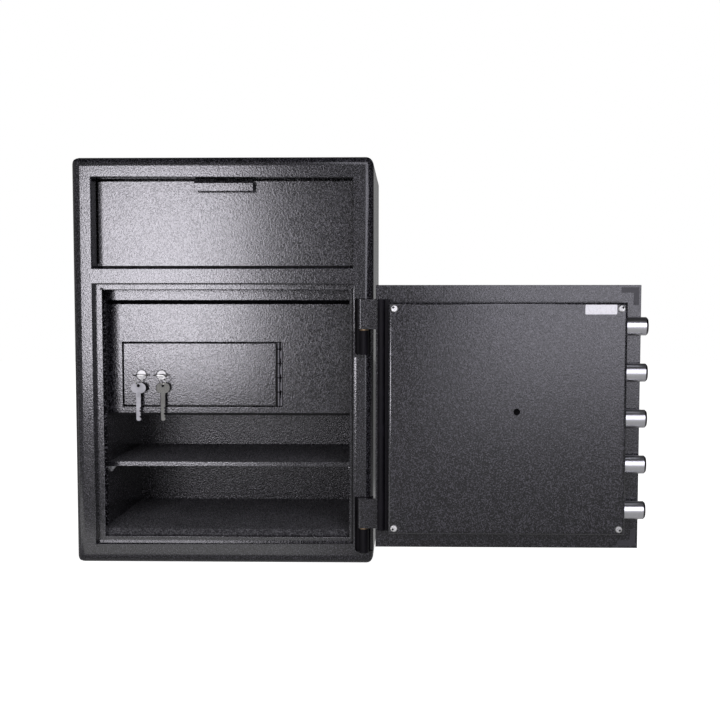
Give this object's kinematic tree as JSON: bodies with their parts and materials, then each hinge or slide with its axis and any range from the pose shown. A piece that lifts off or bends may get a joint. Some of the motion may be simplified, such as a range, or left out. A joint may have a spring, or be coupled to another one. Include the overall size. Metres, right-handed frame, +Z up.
{
  "type": "drop safe with tilting deposit hopper",
  "caption": "Floor-standing drop safe: a tilting deposit hopper above, a thick bolted door below, and a shelf and a small locked box inside.",
  "frame": {"origin": "centre of the underside of the base, where the safe stands on the floor", "axes": "+Z up, -Y towards the front of the safe, +X towards the door's hinge side; the main door is stored swung open by half a turn"},
  "size_m": [0.957, 0.597, 0.686],
  "materials": {
    "hammered_coat": "satin black hammered powder coat",
    "dead_bar_coat": "smooth satin black",
    "liner_coat": "fine textured black powder coat",
    "carpet": "short black pile",
    "bare_steel": "zinc-plated, satin",
    "chrome": "polished",
    "nickel": "satin nickel plate",
    "brass": "machined",
    "dial_black": "satin black with white marks"
  },
  "bodies": {
    "body": {"front_frame": "hammered_coat", "body_wrap": "hammered_coat", "back_panel": "hammered_coat", "door_stop_frame": "hammered_coat", "hopper_surround": "hammered_coat", "hopper_rod": "bare_steel", "inner_liner": "liner_coat", "anti_fish_baffle": "liner_coat", "chute_pan": "liner_coat", "shelf": "liner_coat", "shelf_mat": "carpet", "shelf_clips": "bare_steel", "floor_mat": "carpet", "locker_face": "hammered_coat", "locker_box": "liner_coat", "locker_fixed_leaf": "hammered_coat", "locker_hinge_pin": "bare_steel", "frame_hinge_upper": "hammered_coat", "frame_hinge_lower": "hammered_coat", "hinge_pins": "bare_steel", "hinge_washers": "brass"},
    "hopper": {"hopper_panel": "hammered_coat", "hopper_pull": "hammered_coat", "hopper_tray": "liner_coat", "hopper_hinge_tube": "bare_steel"},
    "main_door": {"door_plate": "hammered_coat", "door_box": "hammered_coat", "door_cover": "hammered_coat", "cover_screws": "nickel", "door_hinge_upper": "hammered_coat", "door_hinge_lower": "hammered_coat", "dead_bar": "dead_bar_coat", "bolt_guide": "bare_steel", "hardplate": "bare_steel", "lock_case": "brass", "dial_ring": "chrome", "handle_escutcheon": "chrome"},
    "bolt_work": {"locking_bolt_1": "chrome", "locking_bolt_2": "chrome", "locking_bolt_3": "chrome", "locking_bolt_4": "chrome", "locking_bolt_5": "chrome", "bolt_bar": "bare_steel"},
    "handle": {"drive_cam": "bare_steel", "handle_spindle": "bare_steel", "handle_lever": "chrome"},
    "dial": {"combination_dial": "dial_black", "dial_spindle": "bare_steel"},
    "locker_door": {"locker_door_panel": "hammered_coat", "locker_moving_leaf": "hammered_coat", "locker_lock": "bare_steel"},
    "locker_catch": {"locker_catch": "brass"},
    "left_plug": {"nose_left": "chrome", "key_left": "nickel", "ring_left": "nickel"},
    "right_plug": {"nose_right": "chrome", "key_right": "nickel", "ring_right": "nickel"},
    "left_spare_key": {"spare_key_left": "nickel"},
    "right_spare_key": {"spare_key_right": "nickel"}
  },
  "joints": [
    {"name": "main_door_hinge", "type": "hinge", "parent": "body", "child": "main_door", "pos_m": [0.2385, -0.2665, 0.25], "axis": [0, 0, 1], "range_deg": [-180, 0]},
    {"name": "bolt_slide", "type": "slide", "parent": "main_door", "child": "bolt_work", "axis": [-1, 0, 0], "range_m": [0, 0.025]},
    {"name": "handle_turn", "type": "hinge", "parent": "main_door", "child": "handle", "pos_m": [0.567, -0.279, 0.266], "axis": [0, -1, 0], "range_deg": [0, 90]},
    {"name": "dial_turn", "type": "hinge", "parent": "main_door", "child": "dial", "pos_m": [0.4897, -0.279, 0.266], "axis": [0, 1, 0], "continuous": true},
    {"name": "hopper_tilt", "type": "hinge", "parent": "body", "child": "hopper", "pos_m": [0, -0.198, 0.508], "axis": [1, 0, 0], "range_deg": [0, 45]},
    {"name": "locker_door_hinge", "type": "hinge", "parent": "body", "child": "locker_door", "pos_m": [0.0865, -0.1595, 0.3182], "axis": [0, 0, 1], "range_deg": [0, 110]},
    {"name": "locker_catch_slide", "type": "slide", "parent": "locker_door", "child": "locker_catch", "axis": [-1, 0, 0], "range_m": [0, 0.013]},
    {"name": "left_plug_turn", "type": "hinge", "parent": "locker_door", "child": "left_plug", "pos_m": [-0.1541, -0.162, 0.3171], "axis": [0, 1, 0], "range_deg": [0, 90]},
    {"name": "right_plug_turn", "type": "hinge", "parent": "locker_door", "child": "right_plug", "pos_m": [-0.1189, -0.162, 0.3171], "axis": [0, -1, 0], "range_deg": [0, 90]},
    {"name": "left_spare_hang", "type": "hinge", "parent": "left_plug", "child": "left_spare_key", "pos_m": [-0.15692, -0.17983, 0.30123], "axis": [0.4226, 0.9063, 0], "range_deg": [-90, 0]},
    {"name": "right_spare_hang", "type": "hinge", "parent": "right_plug", "child": "right_spare_key", "pos_m": [-0.11449, -0.1795, 0.30142], "axis": [0.5736, -0.8192, 0], "range_deg": [-90, 0]}
  ],
  "couplings": [
    {"joint": "handle_turn", "follows": "bolt_slide", "rad_per_m": 62.8},
    {"joint": "left_spare_hang", "follows": "left_plug_turn", "ratio": -1},
    {"joint": "right_spare_hang", "follows": "right_plug_turn", "ratio": -1}
  ]
}
